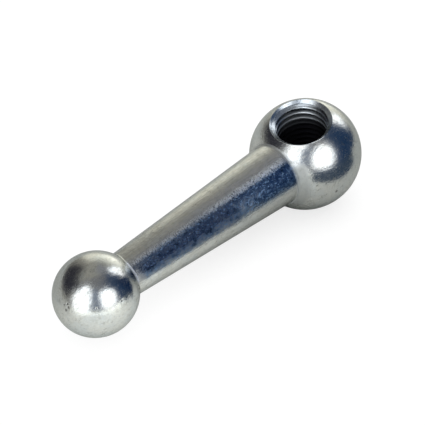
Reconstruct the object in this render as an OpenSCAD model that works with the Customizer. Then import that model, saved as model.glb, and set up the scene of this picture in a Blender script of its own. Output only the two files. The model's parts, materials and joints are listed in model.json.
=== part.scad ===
// One-piece clamping lever: a ball hub with an oblique tapped hole, a tapered
// shaft and a ball knob. It lies at rest on the edge of its seat and on the
// knob, along +X, with the table at z = 0 below the middle of its length.

/* [Hub] */
// Diameter of the ball hub
hub_d = 32; // [28:0.5:40]
// Diameter of the flat seat under the hub, square to the thread
seat_d = 21; // [19:0.5:24]

/* [Knob] */
// Diameter of the ball knob at the free end
knob_d = 20; // [14:0.5:26]

/* [Shaft] */
// Length over both balls, along the lever
overall_len = 100; // [85:1:160]
// Rise of the lever above the plane of the seat, in degrees
lever_rise = 15; // [0:1:20]
// Diameter where the taper reaches the surface of the hub
shaft_root_d = 18; // [14:0.5:22]
// Diameter where the taper reaches the surface of the knob
shaft_tip_d = 11.4; // [8:0.2:13]
// Radius of the fillet between the hub and the shaft
root_fillet_r = 0.6; // [0.3:0.1:3]
// Radius of the fillet between the shaft and the knob
tip_fillet_r = 0.5; // [0.2:0.1:2]

/* [Thread] */
// Nominal diameter of the metric thread
thread_d = 16; // [8:1:16]
// Pitch of the thread
thread_pitch = 2; // [1:0.25:2]
// Rim diameter of the countersink in the ball, at the upper mouth
mouth_d = 17; // [16.4:0.1:20]
// Rim diameter of the countersink in the seat
seat_sink_d = 17; // [16.4:0.1:18.5]
// Full angle of both countersinks, in degrees
sink_angle = 90; // [60:5:120]

/* [Hidden] */
$fn = 144;
hub_r = hub_d / 2;
knob_r = knob_d / 2;
centre_dist = overall_len - hub_r - knob_r;

// The hole is drilled for tapping, so it is smaller than the thread by one pitch
bore_d = thread_d - thread_pitch;

// Heights above and below the hub's centre, along the thread
mouth_h = chord_dist(hub_d, mouth_d);
seat_h = chord_dist(hub_d, seat_d);

// The taper in the half section: x is the radius, y runs from the hub's centre
root_y = chord_dist(hub_d, shaft_root_d);
tip_y = centre_dist - chord_dist(knob_d, shaft_tip_d);
taper = atan2((shaft_root_d - shaft_tip_d) / 2, tip_y - root_y);
taper_dist = shaft_root_d / 2 * cos(taper) + root_y * sin(taper);

// How far along the taper each fillet ends
root_s = leg(hub_r + root_fillet_r, taper_dist + root_fillet_r);
tip_s = centre_dist * cos(taper)
    - leg(knob_r + tip_fillet_r, taper_dist + tip_fillet_r - centre_dist * sin(taper));

// The lever tips until the seat's edge and the knob both touch the table
edge_angle = asin(seat_d / hub_d) - lever_rise;
edge_drop = hub_r * cos(edge_angle);
edge_to_knob = centre_dist - hub_r * sin(edge_angle);
rest_tilt = acos(knob_r / norm([edge_drop, edge_to_knob])) - atan2(edge_to_knob, edge_drop);
thread_lean = lever_rise + rest_tilt;

// The hub's centre, with the length centred on the origin
hub_x = (hub_r - knob_r - centre_dist * cos(rest_tilt)) / 2;
hub_z = knob_r + centre_dist * sin(rest_tilt);

// The other leg of a right-angled triangle
function leg(hypotenuse, side) = sqrt(hypotenuse * hypotenuse - side * side);

// Distance from a ball's centre to the plane where its section has diameter d
function chord_dist(ball_d, d) = leg(ball_d, d) / 2;

// The point s along the taper and dist out from the line through the hub's centre
function taper_point(dist, s) = [
    dist * cos(taper) - s * sin(taper),
    dist * sin(taper) + s * cos(taper)
];

// The shaft's half section, with a hollow fillet at each end
module shaft_section() {
    root_centre = taper_point(taper_dist + root_fillet_r, root_s);
    tip_centre = taper_point(taper_dist + tip_fillet_r, tip_s);
    difference() {
        polygon([
            [0, 0],
            root_centre,
            taper_point(taper_dist, root_s),
            taper_point(taper_dist, tip_s),
            tip_centre,
            [0, centre_dist]
        ]);
        translate(root_centre) circle(r = root_fillet_r);
        translate(tip_centre) circle(r = tip_fillet_r);
    }
}

// Both balls and the shaft, as one half section beside the lever's axis
module lever_section() {
    intersection() {
        union() {
            circle(d = hub_d);
            shaft_section();
            translate([0, centre_dist]) circle(d = knob_d);
        }
        translate([0, -hub_d]) square([hub_d, overall_len + hub_d]);
    }
}

// The turned blank, with its axis along +Z and the hub's centre at the origin
module turned_blank() {
    rotate_extrude() lever_section();
}

// A countersink whose rim lies in the plane z = 0, cut from above
module countersink(rim_d) {
    slope = tan(sink_angle / 2);
    depth = (rim_d - bore_d) / 2 / slope;
    above = hub_r;
    translate([0, 0, -depth])
        cylinder(d1 = bore_d, d2 = rim_d + 2 * above * slope, h = depth + above);
}

// The drilled hole, its two countersinks and the faced seat, along Z
module hub_cuts() {
    cylinder(d = bore_d, h = 2 * hub_d, center = true);
    translate([0, 0, mouth_h]) countersink(mouth_d);
    translate([0, 0, -seat_h]) {
        rotate([180, 0, 0]) countersink(seat_sink_d);
        translate([0, 0, -hub_r]) cube([2 * hub_d, 2 * hub_d, hub_d], center = true);
    }
}

module clamping_lever() {
    color("silver")
    translate([hub_x, 0, hub_z])
    difference() {
        rotate([0, 90 + rest_tilt, 0]) turned_blank();
        rotate([0, thread_lean, 0]) hub_cuts();
    }
}

clamping_lever();
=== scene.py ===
"""The clamping lever's looks: its turned and tapped body, the zinc on it, and the set round it."""
import json
from math import atan2, cos, pi, radians, sin

import bpy
from mathutils import Matrix, Vector


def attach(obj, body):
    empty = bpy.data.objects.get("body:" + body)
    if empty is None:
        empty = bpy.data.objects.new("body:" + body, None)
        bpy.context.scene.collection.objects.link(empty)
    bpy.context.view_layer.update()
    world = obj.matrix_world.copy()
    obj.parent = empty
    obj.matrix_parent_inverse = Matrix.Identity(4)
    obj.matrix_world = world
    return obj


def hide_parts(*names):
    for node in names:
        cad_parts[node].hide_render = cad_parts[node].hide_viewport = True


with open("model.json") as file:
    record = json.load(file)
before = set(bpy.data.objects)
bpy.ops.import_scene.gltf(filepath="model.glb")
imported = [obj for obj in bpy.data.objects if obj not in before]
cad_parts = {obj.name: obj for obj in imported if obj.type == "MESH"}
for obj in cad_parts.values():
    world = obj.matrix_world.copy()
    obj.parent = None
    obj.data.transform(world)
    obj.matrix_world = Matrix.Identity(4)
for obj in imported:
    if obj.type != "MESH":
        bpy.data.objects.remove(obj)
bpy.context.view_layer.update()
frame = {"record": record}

# Sizes of the lever, in metres
MM = 0.001
HUB_R = 16 * MM
KNOB_R = 10 * MM
OVERALL = 100 * MM
LEVER_RISE = radians(15)
TAPER_ROOT_R = 9 * MM
TAPER_TIP_R = 5.7 * MM
ROOT_FILLET_R = 0.6 * MM
TIP_FILLET_R = 0.5 * MM
SEAT_R = 10.5 * MM
THREAD_R = 8 * MM
THREAD_PITCH = 2 * MM
MOUTH_R = 8.5 * MM
SEAT_SINK_R = 8.5 * MM

# The lever's place, from the tapped hole's mount in the record
STUD_MOUNT = next(m for m in frame["record"]["mounts"] if m["name"] == "stud_thread")
THREAD_MINOR_R = STUD_MOUNT["dims"]["r_mm"] * MM
THREAD_AXIS = -Vector(STUD_MOUNT["axis"])
THREAD_LEAN = atan2(THREAD_AXIS.x, THREAD_AXIS.z)
TILT = THREAD_LEAN - LEVER_RISE
SPAN = OVERALL - HUB_R - KNOB_R
LEVER_AXIS = Vector((cos(TILT), 0, -sin(TILT)))
KNOB_CENTRE = Vector(((SPAN * cos(TILT) + HUB_R - KNOB_R) / 2, 0, KNOB_R))
HUB_CENTRE = KNOB_CENTRE - SPAN * LEVER_AXIS
LEVER_MIDDLE = (HUB_CENTRE + KNOB_CENTRE) / 2

# Distances from the hub's centre: to both ends of the taper, and to the planes of the mouth and the seat
TAPER_ROOT = (HUB_R ** 2 - TAPER_ROOT_R ** 2) ** 0.5
TAPER_TIP = SPAN - (KNOB_R ** 2 - TAPER_TIP_R ** 2) ** 0.5
MOUTH_HEIGHT = (HUB_R ** 2 - MOUTH_R ** 2) ** 0.5
SEAT_HEIGHT = (HUB_R ** 2 - SEAT_R ** 2) ** 0.5

# How finely the mesh is divided: points along each stretch of the outline, and round each axis
HUB_POINTS = 110
ROOT_FILLET_POINTS = 10
TAPER_POINTS = 48
TIP_FILLET_POINTS = 8
KNOB_POINTS = 90
POINTS_ROUND_LEVER = 176
POINTS_ROUND_THREAD = 96
POINTS_ROUND_SINK = 192
POINTS_PER_PITCH = 16
WELD_DISTANCE = 0.002 * MM
SHARP_EDGE = radians(28)

# Small pits on the balls, as in the photo: places in mm in the lever's own axes, and their radii
PITS = {
    "hub_front": ((4.4, 15.3, -1.9), 0.58),
    "knob_end_upper": ((82.3, 1.9, 5.3), 0.36),
    "knob_end_middle": ((82.5, 2.4, 4.7), 0.44),
    "knob_end_lower": ((83.0, 2.0, 3.9), 0.42),
    "knob_end_outer": ((82.7, 1.2, 4.8), 0.28),
    "knob_front": ((78.5, 7.2, 5.2), 0.3),
    "knob_side": ((72.9, 8.9, 4.5), 0.28),
}

# Colours of the zinc and of the marks on it, some of them painted light: a navy reflection, highlights and
# shade
COOL_ZINC = (0.62, 0.645, 0.65, 1)
WARM_ZINC = (0.67, 0.675, 0.65, 1)
GREY_GRAIN = (0.5, 0.51, 0.51, 1)
SCRATCHED = (0.46, 0.455, 0.43, 1)
STAINED = (0.37, 0.38, 0.35, 1)
# Painted reflection of navy surroundings on the shaft's front: its blue, dark flecks and pale bluish specks
PAINTED_NAVY_REFLECTION = (0.13, 0.31, 0.56, 1)
PAINTED_DARK_FLECK = (0.02, 0.035, 0.07, 1)
PALE_SHEEN_SPECK = (0.38, 0.55, 0.8, 1)
# A pale line along the shaft, partly rubbed wear and partly a painted highlight, and a painted highlight on
# the knob's fillet
RUBBED_PALE_HIGHLIGHT = (0.72, 0.77, 0.85, 1)
# Painted shade round the shaft's root
PAINTED_NECK_SHADE = (0.36, 0.37, 0.36, 1)
PIT_DIRT = (0.13, 0.125, 0.12, 1)
# Bare cut steel in the hole and its countersinks, with a painted bluish reflection
CUT_STEEL_BLUE_SHEEN = (0.6, 0.68, 0.78, 1)
# Painted shade in the thread's grooves and deep in the hole
PAINTED_GROOVE_SHADE = (0.03, 0.035, 0.04, 1)
PAINTED_HOLE_SHADE = (0.008, 0.008, 0.01, 1)
EDGE_TINT = (0.75, 0.76, 0.76, 1)

# The photograph's view: where the camera stands from its target, and what it aims at beside the middle
CAMERA_LENS_MM = 54.13
CAMERA_SENSOR_MM = 36
CAMERA_AZIMUTH = radians(45.95)
CAMERA_ELEVATION = radians(40.5)
CAMERA_ROLL = radians(2.94)
CAMERA_DISTANCE = 165.6 * MM
AIM_OFFSET = MM * Vector((-0.5, -0.45, 0.7))


class Value:
    """One output in a node tree: arithmetic on it adds Math nodes to the tree."""

    def __init__(self, nodes, socket):
        self.nodes = nodes
        self.socket = socket

    def math(self, operation, *others):
        terms = (self, *others)
        return self.nodes.add("ShaderNodeMath", {"operation": operation}, dict(enumerate(terms)))

    def flipped(self, operation, other):
        return self.nodes.add("ShaderNodeMath", {"operation": operation}, {0: other, 1: self})

    def __add__(self, other):
        return self.math("ADD", other)

    def __sub__(self, other):
        return self.math("SUBTRACT", other)

    def __mul__(self, other):
        return self.math("MULTIPLY", other)

    def __truediv__(self, other):
        return self.math("DIVIDE", other)

    def __radd__(self, other):
        return self.flipped("ADD", other)

    def __rsub__(self, other):
        return self.flipped("SUBTRACT", other)

    def __rmul__(self, other):
        return self.flipped("MULTIPLY", other)

    def __rtruediv__(self, other):
        return self.flipped("DIVIDE", other)

    def __neg__(self):
        return self.flipped("SUBTRACT", 0.0)

    def __abs__(self):
        return self.math("ABSOLUTE")

    def root(self):
        return self.math("SQRT")

    def sin(self):
        return self.math("SINE")

    def cos(self):
        return self.math("COSINE")

    def least(self, other):
        return self.math("MINIMUM", other)

    def most(self, other):
        return self.math("MAXIMUM", other)

    def fade(self, start, end):
        """0 up to start and 1 from end on, or the other way round, with a smooth step between."""
        return self.nodes.add(
            "ShaderNodeMapRange",
            {"interpolation_type": "SMOOTHSTEP"},
            {"Value": self, "From Min": start, "From Max": end},
        )

    def band(self, outer_low, inner_low, inner_high, outer_high):
        """1 between the two inner values and 0 beyond the outer ones, with a smooth step at each side."""
        return self.fade(outer_low, inner_low) * self.fade(outer_high, inner_high)


class Nodes:
    """Adds nodes to one tree."""

    def __init__(self, tree):
        self.tree = tree

    def add(self, kind, settings=None, sockets=None, output=0):
        """A new node of a kind; its settings go first, then its sockets' values or links."""
        node = self.tree.nodes.new(kind)
        for name, setting in (settings or {}).items():
            setattr(node, name, setting)
        for name, given in (sockets or {}).items():
            for one in given if isinstance(given, list) else [given]:
                if isinstance(one, Value):
                    self.tree.links.new(one.socket, node.inputs[name])
                else:
                    node.inputs[name].default_value = one
        return Value(self, node.outputs[output]) if node.outputs else None

    def coordinates(self, kind):
        """Texture coordinates of a kind, such as Object."""
        return self.add("ShaderNodeTexCoord", output=kind)

    def ray_is(self, kind):
        """1 for rays of a kind, such as Camera."""
        return self.add("ShaderNodeLightPath", output=f"Is {kind} Ray")

    def vector(self, x=0.0, y=0.0, z=0.0):
        return self.add("ShaderNodeCombineXYZ", sockets={"X": x, "Y": y, "Z": z})

    def parts(self, vector):
        """The three parts of a vector."""
        first = self.add("ShaderNodeSeparateXYZ", sockets={0: vector})
        return [Value(self, socket) for socket in first.socket.node.outputs]

    def distance(self, vector, place):
        """How far a vector is from a fixed place."""
        return self.add("ShaderNodeVectorMath", {"operation": "DISTANCE"}, {0: vector, 1: place}, "Value")

    def scaled(self, colour, strength):
        """A fixed colour times a value."""
        return self.add("ShaderNodeVectorMath", {"operation": "SCALE"}, {0: colour, "Scale": strength})

    def mixed(self, share, first, second):
        """One colour where the share is 0, another where it is 1."""
        sockets = {0: share, 6: first, 7: second}
        return self.add("ShaderNodeMix", {"data_type": "RGBA"}, sockets, output=2)

    def noise(self, vector, scale, detail=2.0, rough=0.5):
        sockets = {"Vector": vector, "Scale": scale, "Detail": detail, "Roughness": rough}
        return self.add("ShaderNodeTexNoise", sockets=sockets)

    def placed(self, geometry, at=None, turn=None):
        """Geometry turned and then moved."""
        sockets = {"Geometry": geometry}
        if at is not None:
            sockets["Translation"] = at
        if turn is not None:
            sockets["Rotation"] = turn
        return self.add("GeometryNodeTransform", sockets=sockets)


def arc(nodes, centre, radius, start, end, points):
    """A round stretch of the half section."""
    curve = nodes.add(
        "GeometryNodeCurveArc",
        {"mode": "RADIUS"},
        {"Resolution": points, "Radius": radius, "Start Angle": start, "Sweep Angle": end - start},
    )
    return nodes.placed(curve, at=nodes.vector(*centre))


def half_section(nodes, size):
    """The lever's outline beside its axis: x is the radius, y runs from the hub's centre to the knob."""
    hub, knob, span = size["Hub radius"], size["Knob radius"], size["Centre distance"]
    root_r, tip_r = size["Taper root radius"], size["Taper tip radius"]
    root_f, tip_f = size["Root fillet"], size["Tip fillet"]

    def leg(long_side, short_side):
        return (long_side * long_side - short_side * short_side).root()

    rise = span - leg(knob, tip_r) - leg(hub, root_r)
    taper = (root_r - tip_r).math("ARCTAN2", rise)
    away = root_r * taper.cos() + leg(hub, root_r) * taper.sin()

    def taper_point(distance, along):
        x = distance * taper.cos() - along * taper.sin()
        y = distance * taper.sin() + along * taper.cos()
        return x, y

    root_s = leg(hub + root_f, away + root_f)
    tip_s = span * taper.cos() - leg(knob + tip_f, away + tip_f - span * taper.sin())
    root_x, root_y = taper_point(away + root_f, root_s)
    tip_x, tip_y = taper_point(away + tip_f, tip_s)
    root_turn = root_y.math("ARCTAN2", root_x)
    tip_turn = (span - tip_y).math("ARCTAN2", -tip_x)
    line = nodes.add(
        "GeometryNodeCurvePrimitiveLine",
        sockets={
            "Start": nodes.vector(*taper_point(away, root_s)),
            "End": nodes.vector(*taper_point(away, tip_s)),
        },
    )
    stretches = [
        arc(nodes, (0.0, 0.0), hub, -pi / 2, root_turn, HUB_POINTS),
        arc(nodes, (root_x, root_y), root_f, root_turn + pi, taper + pi, ROOT_FILLET_POINTS),
        nodes.add("GeometryNodeResampleCurve", sockets={"Curve": line, "Count": TAPER_POINTS}),
        arc(nodes, (tip_x, tip_y), tip_f, taper + pi, tip_turn, TIP_FILLET_POINTS),
        arc(nodes, (0.0, span), knob, tip_turn - pi, pi / 2, KNOB_POINTS),
    ]
    return nodes.add("GeometryNodeJoinGeometry", sockets={"Geometry": stretches})


def welded(nodes, mesh):
    """The mesh with its seams and poles closed."""
    return nodes.add("GeometryNodeMergeByDistance", sockets={"Geometry": mesh, "Distance": WELD_DISTANCE})


def turned_blank(nodes, size):
    """The half section swept round the Z axis, with the hub's centre at the origin."""
    ring = nodes.add(
        "GeometryNodeCurvePrimitiveCircle",
        {"mode": "RADIUS"},
        {"Resolution": POINTS_ROUND_LEVER, "Radius": size["Hub radius"]},
    )
    ring = nodes.add("GeometryNodeSetCurveNormal", {"mode": "Z_UP"}, {"Curve": ring})
    section = nodes.placed(half_section(nodes, size), at=nodes.vector(-size["Hub radius"]))
    skin = nodes.add("GeometryNodeCurveToMesh", sockets={"Curve": ring, "Profile Curve": section})
    return welded(nodes, skin)


def tap(nodes, size):
    """A solid with the shape of the tapped hole: rows of points follow the helix of a right-hand thread."""
    turns = 20
    rows = turns * POINTS_PER_PITCH + 1
    columns = POINTS_ROUND_THREAD + 1
    pitch = size["Thread pitch"]
    # The helix is cut off square a turn and a half short of its ends
    reach = pitch * (turns / 2 - 1.5)
    grid = nodes.add(
        "GeometryNodeMeshGrid",
        sockets={"Size X": 1.0, "Size Y": 1.0, "Vertices X": columns, "Vertices Y": rows},
    )
    across, along, _ = nodes.parts(nodes.add("GeometryNodeInputPosition"))
    turn = across + 0.5
    height = (along * turns + turn) * pitch
    height = height.most(-reach).least(reach)
    phase = (height / pitch - turn).math("FRACT")
    crest, flank = 4 / POINTS_PER_PITCH, 5 / POINTS_PER_PITCH
    groove = ((phase - crest) / flank).least((1 - phase) / flank).most(0.0).least(1.0)
    # The first and the last row shrink to the axis, which closes the solid
    between_ends = abs(along).math("LESS_THAN", 0.4999)
    minor = size["Thread minor radius"]
    radius = (minor + (size["Thread radius"] - minor) * groove) * between_ends
    angle = turn * (2 * pi)
    spot = nodes.vector(radius * angle.cos(), radius * angle.sin(), height)
    return welded(nodes, nodes.add("GeometryNodeSetPosition", sockets={"Geometry": grid, "Position": spot}))


def countersink(nodes, size, rim_r, rim_height):
    """A right-angled cone that flares upwards, with its rim half way up."""
    depth = size["Hub radius"]
    cone = nodes.add(
        "GeometryNodeMeshCone",
        {"fill_type": "NGON"},
        {
            "Vertices": POINTS_ROUND_SINK,
            "Radius Top": rim_r + depth / 2,
            "Radius Bottom": rim_r - depth / 2,
            "Depth": depth,
        },
    )
    return nodes.placed(cone, at=nodes.vector(0.0, 0.0, rim_height - depth / 2))


def hub_cuts(nodes, size):
    """What is cut from the hub, along Z: the tapped hole, its countersinks and the flat seat."""
    hub, mouth, seat = size["Hub radius"], size["Mouth radius"], size["Seat radius"]
    mouth_height = (hub * hub - mouth * mouth).root()
    seat_height = (hub * hub - seat * seat).root()
    upper = countersink(nodes, size, mouth, mouth_height)
    lower = countersink(nodes, size, size["Seat countersink radius"], seat_height)
    block = nodes.add("GeometryNodeMeshCube", sockets={"Size": (4 * HUB_R, 4 * HUB_R, 2 * HUB_R)})
    return [
        tap(nodes, size),
        upper,
        nodes.placed(lower, turn=(pi, 0, 0)),
        nodes.placed(block, at=nodes.vector(0.0, 0.0, -seat_height - HUB_R)),
    ]


def lever_tree(names):
    """Geometry nodes for the whole lever, with an input for each named size."""
    tree = bpy.data.node_groups.new("clamping_lever", "GeometryNodeTree")
    for name in names:
        tree.interface.new_socket(name, in_out="INPUT", socket_type="NodeSocketFloat")
    tree.interface.new_socket("Finish", in_out="INPUT", socket_type="NodeSocketMaterial")
    tree.interface.new_socket("Lever", in_out="OUTPUT", socket_type="NodeSocketGeometry")
    nodes = Nodes(tree)
    given = nodes.add("NodeGroupInput").socket.node.outputs
    size = {name: Value(nodes, given[name]) for name in names}

    blank = nodes.placed(turned_blank(nodes, size), turn=(0, TILT - pi / 2, 0))
    cuts = [nodes.placed(cut, turn=(0, THREAD_LEAN, 0)) for cut in hub_cuts(nodes, size)]
    body = nodes.add(
        "GeometryNodeMeshBoolean",
        {"operation": "DIFFERENCE", "solver": "MANIFOLD"},
        {"Mesh 1": blank, "Mesh 2": cuts},
    )
    body = nodes.placed(welded(nodes, body), at=nodes.vector(*HUB_CENTRE))
    body = nodes.add("GeometryNodeSetShadeSmooth", {"domain": "FACE"}, {"Geometry": body})
    sharp = nodes.add("GeometryNodeInputMeshEdgeAngle").math("GREATER_THAN", SHARP_EDGE)
    body = nodes.add(
        "GeometryNodeSetShadeSmooth",
        {"domain": "EDGE"},
        {"Geometry": body, "Selection": sharp, "Shade Smooth": False},
    )
    body = nodes.add("GeometryNodeRealizeInstances", sockets={"Geometry": body})
    finish = Value(nodes, given["Finish"])
    body = nodes.add("GeometryNodeSetMaterial", sockets={"Geometry": body, "Material": finish})
    nodes.add("NodeGroupOutput", sockets={"Lever": body})
    return tree


def lever_body(finish):
    """The lever as one plain mesh, made by the tree."""
    sizes = {
        "Hub radius": HUB_R,
        "Knob radius": KNOB_R,
        "Centre distance": SPAN,
        "Taper root radius": TAPER_ROOT_R,
        "Taper tip radius": TAPER_TIP_R,
        "Root fillet": ROOT_FILLET_R,
        "Tip fillet": TIP_FILLET_R,
        "Seat radius": SEAT_R,
        "Thread radius": THREAD_R,
        "Thread minor radius": THREAD_MINOR_R,
        "Thread pitch": THREAD_PITCH,
        "Mouth radius": MOUTH_R,
        "Seat countersink radius": SEAT_SINK_R,
    }
    piece = bpy.data.objects.new("lever_body", bpy.data.meshes.new("lever_blank"))
    bpy.context.collection.objects.link(piece)
    modifier = piece.modifiers.new("lever", "NODES")
    modifier.node_group = lever_tree(sizes)
    for socket in modifier.node_group.interface.items_tree:
        if socket.in_out == "INPUT":
            modifier[socket.identifier] = sizes.get(socket.name, finish)
    mesh = bpy.data.meshes.new_from_object(piece.evaluated_get(bpy.context.evaluated_depsgraph_get()))
    mesh.name = "lever_body"
    piece.modifiers.clear()
    piece.data = mesh
    return piece


def new_material(name):
    """An empty material and the nodes that fill it."""
    material = bpy.data.materials.new(name)
    material.use_nodes = True
    material.node_tree.nodes.clear()
    return material, Nodes(material.node_tree)


def turned_axes(nodes, turn):
    """The place on the lever in mm from the hub's centre, in axes turned about Y."""
    sockets = {
        "Vector": nodes.coordinates("Object"),
        "Location": HUB_CENTRE,
        "Rotation": (0, turn, 0),
        "Scale": (MM, MM, MM),
    }
    return nodes.add("ShaderNodeMapping", {"vector_type": "TEXTURE"}, sockets)


class LeverSpot:
    """Where a spot of the surface is, in mm along the lever and in degrees round it: 0 at +Y, 90 on top."""

    def __init__(self, nodes):
        self.nodes = nodes
        self.place = turned_axes(nodes, TILT)
        self.along, self.side, self.up = nodes.parts(self.place)
        self.angle = self.up.math("ARCTAN2", self.side) * (180 / pi)
        self.from_root = self.along - TAPER_ROOT / MM
        self.from_tip = self.along - TAPER_TIP / MM
        self.shaft = self.from_root.fade(-0.73, 2.27) * self.from_tip.fade(2.22, -0.28)

    def drawn(self, along, across=1.0):
        """The place for a pattern that is drawn out, with its two scales."""
        return self.nodes.vector(self.along * along, self.side * across, self.up * across)


def hole_marks(nodes):
    """Shares for the hole: all of it, the rings in its countersinks, and the painted shade in the thread's
    grooves and in the deep part.
    """
    x, y, z = nodes.parts(turned_axes(nodes, THREAD_LEAN))
    radius = (x * x + y * y).root()
    hole = (radius - MOUTH_R / MM).fade(0.08, -0.02)
    depth = (MOUTH_HEIGHT / MM - z).least(SEAT_HEIGHT / MM + z)
    rings = nodes.noise(nodes.vector(radius), 2.6, 1.0) * hole
    groove_shade = hole * depth.fade(1.2, 1.8) * (radius - THREAD_MINOR_R / MM).fade(0.1, 0.5)
    deep_shade = hole * depth.fade(2.5, 8.5)
    return hole, rings, groove_shade, deep_shade


def navy_reflection_marks(nodes, spot):
    """Shares for the blue stretch along the shaft's front, a painted reflection of navy surroundings: its
    blue, painted dark flecks, and pale specks that are rougher grain with a painted bluish sheen.
    """
    front = spot.angle.band(8.0, 26.0, 55.0, 68.0) * spot.shaft * spot.from_tip.fade(-0.78, -3.78)
    mottle = nodes.noise(spot.drawn(0.7), 0.9, 4.0, 0.75)
    painted_navy = front * (mottle.fade(0.35, 0.6) * 0.45 + spot.along.fade(34.0, 22.0) * 0.2 + 0.28)
    painted_dark_flecks = front * mottle.fade(0.5, 0.6)
    grain_and_sheen_specks = nodes.noise(spot.drawn(0.7), 1.8, 3.0, 0.7).fade(0.5, 0.7) * (front * 0.9 + 0.1)
    return painted_navy, painted_dark_flecks, grain_and_sheen_specks


def rubbed_highlight_lines(nodes, spot):
    """The share of the pale line along the shaft above the blue, rubbed wear that is partly a painted
    highlight, and of the painted highlight on the fillet at the knob.
    """
    strokes = nodes.noise(spot.drawn(1.0, 0.5), 4.0, 2.0, 0.6)
    wavy = spot.angle + (strokes - 0.5) * 13
    line = wavy.band(55.0, 63.0, 65.0, 76.0) * spot.shaft * strokes.fade(0.34, 0.66)
    line = line * (spot.along.fade(52.0, 18.0) * 0.5 + 0.45)
    knob_fillet_highlight = spot.from_tip.band(-0.48, -0.18, 0.12, 0.42) * spot.angle.band(10.0, 28.0, 62.0, 85.0)
    return line.most(knob_fillet_highlight * 0.75)


def zinc_plate():
    """Bright zinc on turned steel, stained; on the shaft's front a painted navy reflection and a rubbed line
    that is partly a painted highlight, with painted shade at the neck and in the hole.
    """
    material, nodes = new_material("zinc_plate")
    spot = LeverSpot(nodes)
    hole, sink_rings, groove_shade, deep_shade = hole_marks(nodes)
    painted_navy, painted_dark_flecks, grain_and_sheen_specks = navy_reflection_marks(nodes, spot)
    rubbed_highlight = rubbed_highlight_lines(nodes, spot)

    cloud = nodes.noise(spot.place, 0.22, 3.0)
    grain = nodes.noise(spot.place, 2.6)
    stains = nodes.noise(spot.place, 1.0, 4.0, 0.65).fade(0.5, 0.68)
    ripple = nodes.noise(spot.drawn(0.45), 1.5, 2.0, 0.55)
    scratches = nodes.noise(spot.drawn(0.06), 3.5).fade(0.4, 0.62) * spot.shaft
    pits = sum(nodes.distance(spot.place, pit).fade(r * 1.15, r * 0.3) for pit, r in PITS.values())
    rings = nodes.noise(nodes.vector(spot.along), 3.2) * spot.from_root.band(-4.23, -1.23, 2.27, 5.77)
    root_fillet = spot.from_root.band(-0.43, -0.13, 0.47, 0.77)
    # Painted shade on the hub round the shaft's root, on the front side, where the zinc is also rougher
    shaded_neck = spot.from_root.band(-2.63, -1.23, -0.03, 0.57) * spot.angle.band(-45.0, -25.0, 36.0, 50.0)
    under_blue = spot.angle.band(12.0, 20.0, 27.0, 38.0) * spot.shaft * spot.along.fade(24.0, 40.0)

    colour = nodes.mixed(cloud.fade(0.35, 0.65), COOL_ZINC, WARM_ZINC)
    marks = [
        (grain.fade(0.35, 0.6) * 0.3, GREY_GRAIN),
        (scratches * 0.45, SCRATCHED),
        (stains * 0.5, STAINED),
        # Painted reflection: the navy band on the shaft's front, its dark flecks and bluish specks
        (painted_navy, PAINTED_NAVY_REFLECTION),
        (painted_dark_flecks * 0.85, PAINTED_DARK_FLECK),
        (grain_and_sheen_specks * 0.9, PALE_SHEEN_SPECK),
        # Rubbed wear and painted highlights, also made less metallic so they catch light
        (rubbed_highlight, RUBBED_PALE_HIGHLIGHT),
        (shaded_neck * 0.6, PAINTED_NECK_SHADE),
        (pits * 0.8, PIT_DIRT),
        (hole * 0.45, CUT_STEEL_BLUE_SHEEN),
        # Painted shade in the grooves and deep in the hole
        (groove_shade * 0.85, PAINTED_GROOVE_SHADE),
        (deep_shade, PAINTED_HOLE_SHADE),
    ]
    for share, tint in marks:
        colour = nodes.mixed(share, colour, tint)
    roughness = (
        0.15 - spot.shaft * 0.015 + cloud * 0.06 + grain * 0.06 + stains * 0.08
        + grain_and_sheen_specks * 0.3 + rubbed_highlight * 0.35 + root_fillet * 0.25 + shaded_neck * 0.3 + under_blue * 0.19
        + hole * 0.06 + deep_shade * 0.3
    )
    height = (
        ripple * (spot.shaft * 0.015 + 0.035) + grain * (spot.shaft * 0.01 + 0.007) + scratches * 0.015
        + rings * 0.02 + sink_rings * 0.06 - pits * 0.05
    )
    bump = nodes.add("ShaderNodeBump", sockets={"Strength": 1.0, "Distance": MM, "Height": height})
    shader = nodes.add(
        "ShaderNodeBsdfPrincipled",
        sockets={
            "Base Color": colour,
            "Metallic": 1.0 - rubbed_highlight * 0.4,
            "Roughness": roughness,
            "Specular Tint": EDGE_TINT,
            "Normal": bump,
        },
    )
    nodes.add("ShaderNodeOutputMaterial", sockets={"Surface": shader})
    return material


def stage_plane(name, width, height, shader):
    """A flat sheet in the XY plane for the set, with a material whose shader a function makes."""
    mesh = bpy.data.meshes.new(name)
    x, y = width / 2, height / 2
    mesh.from_pydata([(-x, -y, 0), (x, -y, 0), (x, y, 0), (-x, y, 0)], [], [(0, 1, 2, 3)])
    sheet = bpy.data.objects.new(name, mesh)
    bpy.context.collection.objects.link(sheet)
    material, nodes = new_material(name)
    nodes.add("ShaderNodeOutputMaterial", sockets={"Surface": shader(nodes)})
    mesh.materials.append(material)
    return sheet


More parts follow.
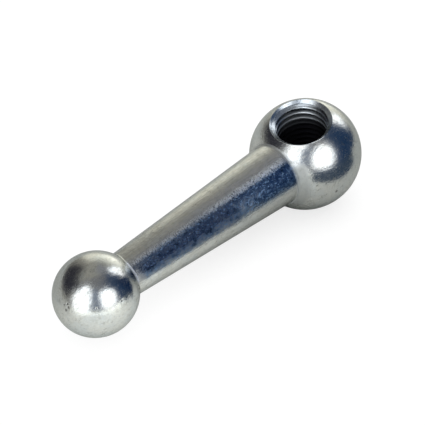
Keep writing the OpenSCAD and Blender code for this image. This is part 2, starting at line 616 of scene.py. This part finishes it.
def white_paper(nodes):
    """Paper that is white to the camera, but for the lever's shadow.

    The metal sees painted pools of light on it, in front of the knob, beyond and behind, and a painted shade
    where the camera stands.
    """
    camera_ray = nodes.ray_is("Camera")
    mirrored = nodes.ray_is("Glossy").most(nodes.ray_is("Transmission"))
    spot = nodes.coordinates("Object")
    x, y, _ = nodes.parts(spot)
    front = (x * 0.85 + y * 0.5).fade(-0.015, 0.052) * y.fade(-0.035, 0.03)
    beyond = (x * 0.5 + y * 0.87).fade(0.03, 0.14)
    painted_bright_pool = nodes.distance(spot, (-0.04, -0.1, 0)).fade(0.08, 0.02)
    painted_camera_shadow = nodes.distance(spot, (0.094, 0.066, 0)).fade(0.058, 0.016)
    # Painted light for the metal only: pools of light, and the camera's shadow painted in
    lit = front * (beyond * 0.8 + 0.52) + painted_bright_pool * 0.15 - painted_camera_shadow * 0.5
    painted_pools = nodes.scaled((1, 1.03, 0.98), mirrored * lit.most(0.0))

    # Towards the knob the paper itself is darker and its own white stronger, so the shadow is fainter there
    faint_shadow = x.fade(-0.03, 0.05)
    sheet = nodes.mixed(faint_shadow, (0.3, 0.3, 0.3, 1), (0.13, 0.13, 0.13, 1))
    sheet = nodes.mixed(mirrored, sheet, (0.54, 0.55, 0.525, 1))
    paper = nodes.add("ShaderNodeBsdfDiffuse", sockets={"Color": sheet})
    white = nodes.scaled((1, 1, 1), camera_ray * (faint_shadow * 0.16 + 0.76))
    both = nodes.add("ShaderNodeVectorMath", {"operation": "ADD"}, {0: white, 1: painted_pools})
    glow = nodes.add("ShaderNodeEmission", sockets={"Color": both, "Strength": 1.0})
    return nodes.add("ShaderNodeAddShader", sockets={0: paper, 1: glow})


def facing(place, target, roll=0.0):
    """A matrix at a place whose -Z looks at a target."""
    back = (place - target).normalized()
    right = Vector((0, 0, 1)).cross(back).normalized()
    up = back.cross(right)
    turn = Matrix((right, up, back)).transposed().to_4x4()
    return Matrix.Translation(place) @ turn @ Matrix.Rotation(roll, 4, "Z")


def towards(azimuth, elevation):
    """A direction: azimuth from +Y round to +X, elevation above the table."""
    level = cos(elevation)
    return Vector((sin(azimuth) * level, cos(azimuth) * level, sin(elevation)))


def card(name, middle, faces, size, soft, colour, oval=False, roll=0.0):
    """An upright card or lamp with soft edges that faces a spot on the table; only the metal sees it."""
    width, height = size

    def glow(nodes):
        x, y, _ = nodes.parts(nodes.coordinates("Object"))
        x = abs(x) / (width / 2)
        y = abs(y) / (height / 2)
        reach = (x * x + y * y).root() if oval else x.most(y)
        clear = nodes.add("ShaderNodeBsdfTransparent")
        light = nodes.add("ShaderNodeEmission", sockets={"Color": colour, "Strength": 1.0})
        return nodes.add("ShaderNodeMixShader", sockets={0: reach.fade(1.0, 1.0 - soft), 1: clear, 2: light})

    sheet = stage_plane(name, width, height, glow)
    sheet.matrix_world = facing(Vector(middle), Vector((*faces, middle[2])), roll)
    sheet.visible_camera = False
    sheet.visible_shadow = False
    sheet.visible_diffuse = False


def cards():
    """What stands near the lever: a softbox, and dark cards that give the metal its navy bands."""
    card(
        "softbox",
        middle=(0.052, 0.31, 0.2),
        faces=(0.052, 0),
        size=(0.41, 0.455),
        soft=0.5,
        colour=(2.4, 2.44, 2.48, 1),
        oval=True,
    )
    card(
        "navy_card",
        middle=(-0.04, 0.048, 0.012),
        faces=(-0.04, 0),
        size=(0.1, 0.024),
        soft=0.15,
        colour=(0.035, 0.06, 0.1, 1),
    )
    card(
        "shaft_flag",
        middle=(0.01475, 0.012, 0.0195),
        faces=(0.01475, 0),
        size=(0.0385, 0.02),
        soft=0.32,
        colour=(0.004, 0.02, 0.065, 1),
        roll=TILT,
    )
    card(
        "camera_card",
        middle=(0.1316, 0.1305, 0.145),
        faces=(0, 0),
        size=(0.104, 0.27),
        soft=0.45,
        colour=(0.19, 0.23, 0.3, 1),
    )


def room():
    """White behind the lever for the camera, and a soft light from overhead for the paper.

    The metal sees a room: pale walls, dark in front and at one side, with an oval lamp and a strip light.
    Places in it are azimuths from +Y round to +X and elevations, in degrees.
    """
    world = bpy.data.worlds.new("room")
    world.use_nodes = True
    world.node_tree.nodes.clear()
    nodes = Nodes(world.node_tree)
    x, y, z = nodes.parts(nodes.coordinates("Generated"))
    turn = x.math("ARCTAN2", y) * (180 / pi)
    turn = turn + turn.math("LESS_THAN", -165.0) * 360
    rise = z.math("ARCSINE") * (180 / pi)

    def patch(left, right, bottom, top, soft):
        """1 inside a stretch of azimuths and elevations, with soft edges."""
        across = turn.band(left - soft, left + soft, right - soft, right + soft)
        return across * rise.band(bottom - soft, bottom + soft, top - soft, top + soft)

    def oval(azimuth, elevation, width, height):
        """1 inside an oval with soft edges, from its middle and its half width and height."""
        across = (turn - azimuth) / width
        upwards = (rise - elevation) / height
        return (across * across + upwards * upwards).root().fade(1.15, 0.75)

    behind = turn.fade(-154.0, -165.0).most(turn.fade(170.0, 186.0)) * rise.fade(60.0, 40.0)
    layers = {
        "walls": (rise.fade(48.0, 15.0), (0.95, 0.94, 0.82, 1)),
        "lit wall": (patch(-152.0, -112.0, -18.0, 26.0, 12.0), (1.2, 1.18, 1.02, 1)),
        "window in it": (patch(-132.0, -112.0, -18.0, 17.0, 10.0), (1.95, 1.92, 1.7, 1)),
        "wall behind": (behind, (0.36, 0.35, 0.31, 1)),
        "dim front": (turn.band(-100.0, -70.0, 95.0, 125.0), (0.2, 0.205, 0.22, 1)),
        "navy front": (patch(-88.0, -8.0, -40.0, 62.0, 16.0), (0.01, 0.038, 0.1, 1)),
        "grey above": (patch(-135.0, -88.0, 48.0, 74.0, 9.0), (0.28, 0.285, 0.305, 1)),
        "dark side": (patch(108.0, 186.0, 0.0, 53.0, 12.0), (0.03, 0.03, 0.04, 1)),
        "oval lamp": (oval(72.0, 28.0, 29.5, 38.0), (2.05, 2.09, 2.12, 1)),
        "strip light": (patch(-99.0, -80.0, 16.0, 49.0, 7.0), (2.1, 2.14, 2.18, 1)),
    }
    ceiling = (0.35, 0.345, 0.31, 1)
    shown = ceiling
    for share, light in layers.values():
        shown = nodes.mixed(share, shown, light)
    overhead = nodes.mixed(rise.fade(25.0, 75.0), (0, 0, 0, 1), (2.1, 2.1, 2.1, 1))
    shown = nodes.mixed(nodes.ray_is("Diffuse"), shown, overhead)
    shown = nodes.mixed(nodes.ray_is("Camera"), shown, (1, 1, 1, 1))
    background = nodes.add("ShaderNodeBackground", sockets={"Color": shown, "Strength": 1.0})
    nodes.add("ShaderNodeOutputWorld", sockets={"Surface": background})
    bpy.context.scene.world = world


def camera():
    """The photograph's view, with the lever's middle near the centre of the frame."""
    lens = bpy.data.cameras.new("camera")
    lens.sensor_width = CAMERA_SENSOR_MM
    lens.lens = CAMERA_LENS_MM
    lens.clip_start = 10 * MM
    eye = bpy.data.objects.new("camera", lens)
    bpy.context.collection.objects.link(eye)
    target = LEVER_MIDDLE + AIM_OFFSET
    place = target + CAMERA_DISTANCE * towards(CAMERA_AZIMUTH, CAMERA_ELEVATION)
    eye.matrix_world = facing(place, target, CAMERA_ROLL)
    bpy.context.scene.camera = eye


bpy.context.scene.view_settings.view_transform = "Standard"
body = lever_body(zinc_plate())
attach(body, "root")
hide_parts("clamping_lever")
stage_plane("table", width=6.0, height=6.0, shader=white_paper)
cards()
room()
camera()
